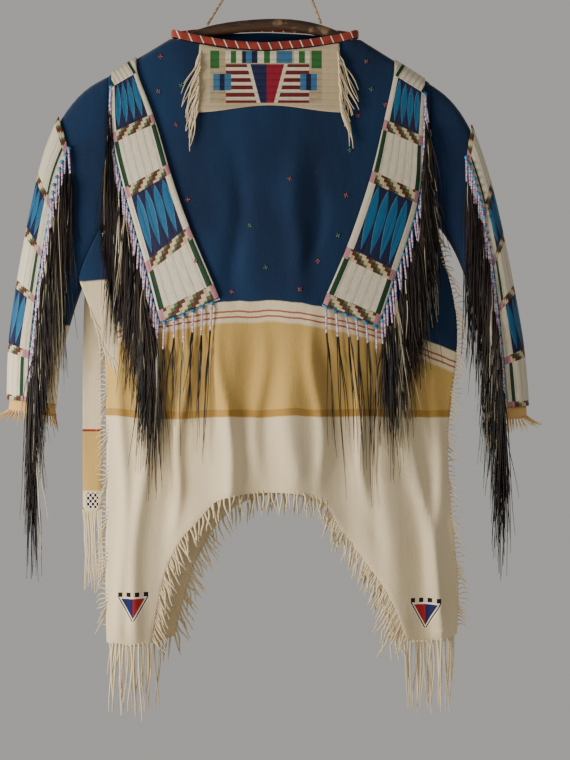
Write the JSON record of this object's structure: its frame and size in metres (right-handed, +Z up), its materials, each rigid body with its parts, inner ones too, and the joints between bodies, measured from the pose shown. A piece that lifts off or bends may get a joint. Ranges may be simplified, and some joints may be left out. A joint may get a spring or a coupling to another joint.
{
  "type": "fringe jacket on a wooden branch hanger",
  "caption": "Painted hide war shirt with beaded strips, hair locks and cut fringe, hung on a bent branch hanger with a thong loop",
  "frame": {"origin": "top of the thong loop that the hanger hangs from", "axes": "+Z up; the front of the shirt faces -Y; +X is to the right seen from the front"},
  "size_m": [0.8882, 0.1101, 1.3564],
  "materials": {
    "painted_hide": "brain-tanned hide, matt, blue earth paint above ochre and bare cream",
    "pale_hide": "bare cream hide, soft nap",
    "tan_hide": "tan hide, soft nap",
    "red_cloth": "rust red wool cloth with white whip stitch",
    "beadwork": "glass seed beads in lanes on hide",
    "hair": "black and pale horsehair with wrapped stems and blue pony beads",
    "wood": "dark bare branch, worn",
    "thong": "twisted hide thong"
  },
  "bodies": {
    "root": {"front_panel": "painted_hide", "back_panel": "painted_hide", "sleeve_left": "painted_hide", "sleeve_right": "painted_hide", "sleeve_wing_left": "painted_hide", "sleeve_tab_left": "pale_hide", "sleeve_tab_fringe_left": "pale_hide", "bib_flap": "pale_hide", "bib_fringe_left": "pale_hide", "bib_fringe_right": "pale_hide", "front_hem_fringe": "pale_hide", "back_hem_fringe": "pale_hide", "side_fringe_left": "pale_hide", "side_fringe_right": "pale_hide", "neck_binding": "red_cloth", "shoulder_strip_left": "beadwork", "shoulder_strip_right": "beadwork", "sleeve_strip_left": "beadwork", "sleeve_strip_right": "beadwork", "shoulder_locks_left": "hair", "shoulder_locks_right": "hair", "sleeve_locks_left": "hair", "sleeve_locks_right": "hair", "cuff_left": "tan_hide", "cuff_right": "tan_hide", "cuff_fringe_left": "tan_hide", "cuff_fringe_right": "tan_hide", "hanger_branch": "wood", "hanger_thong": "thong"}
  },
  "joints": []
}
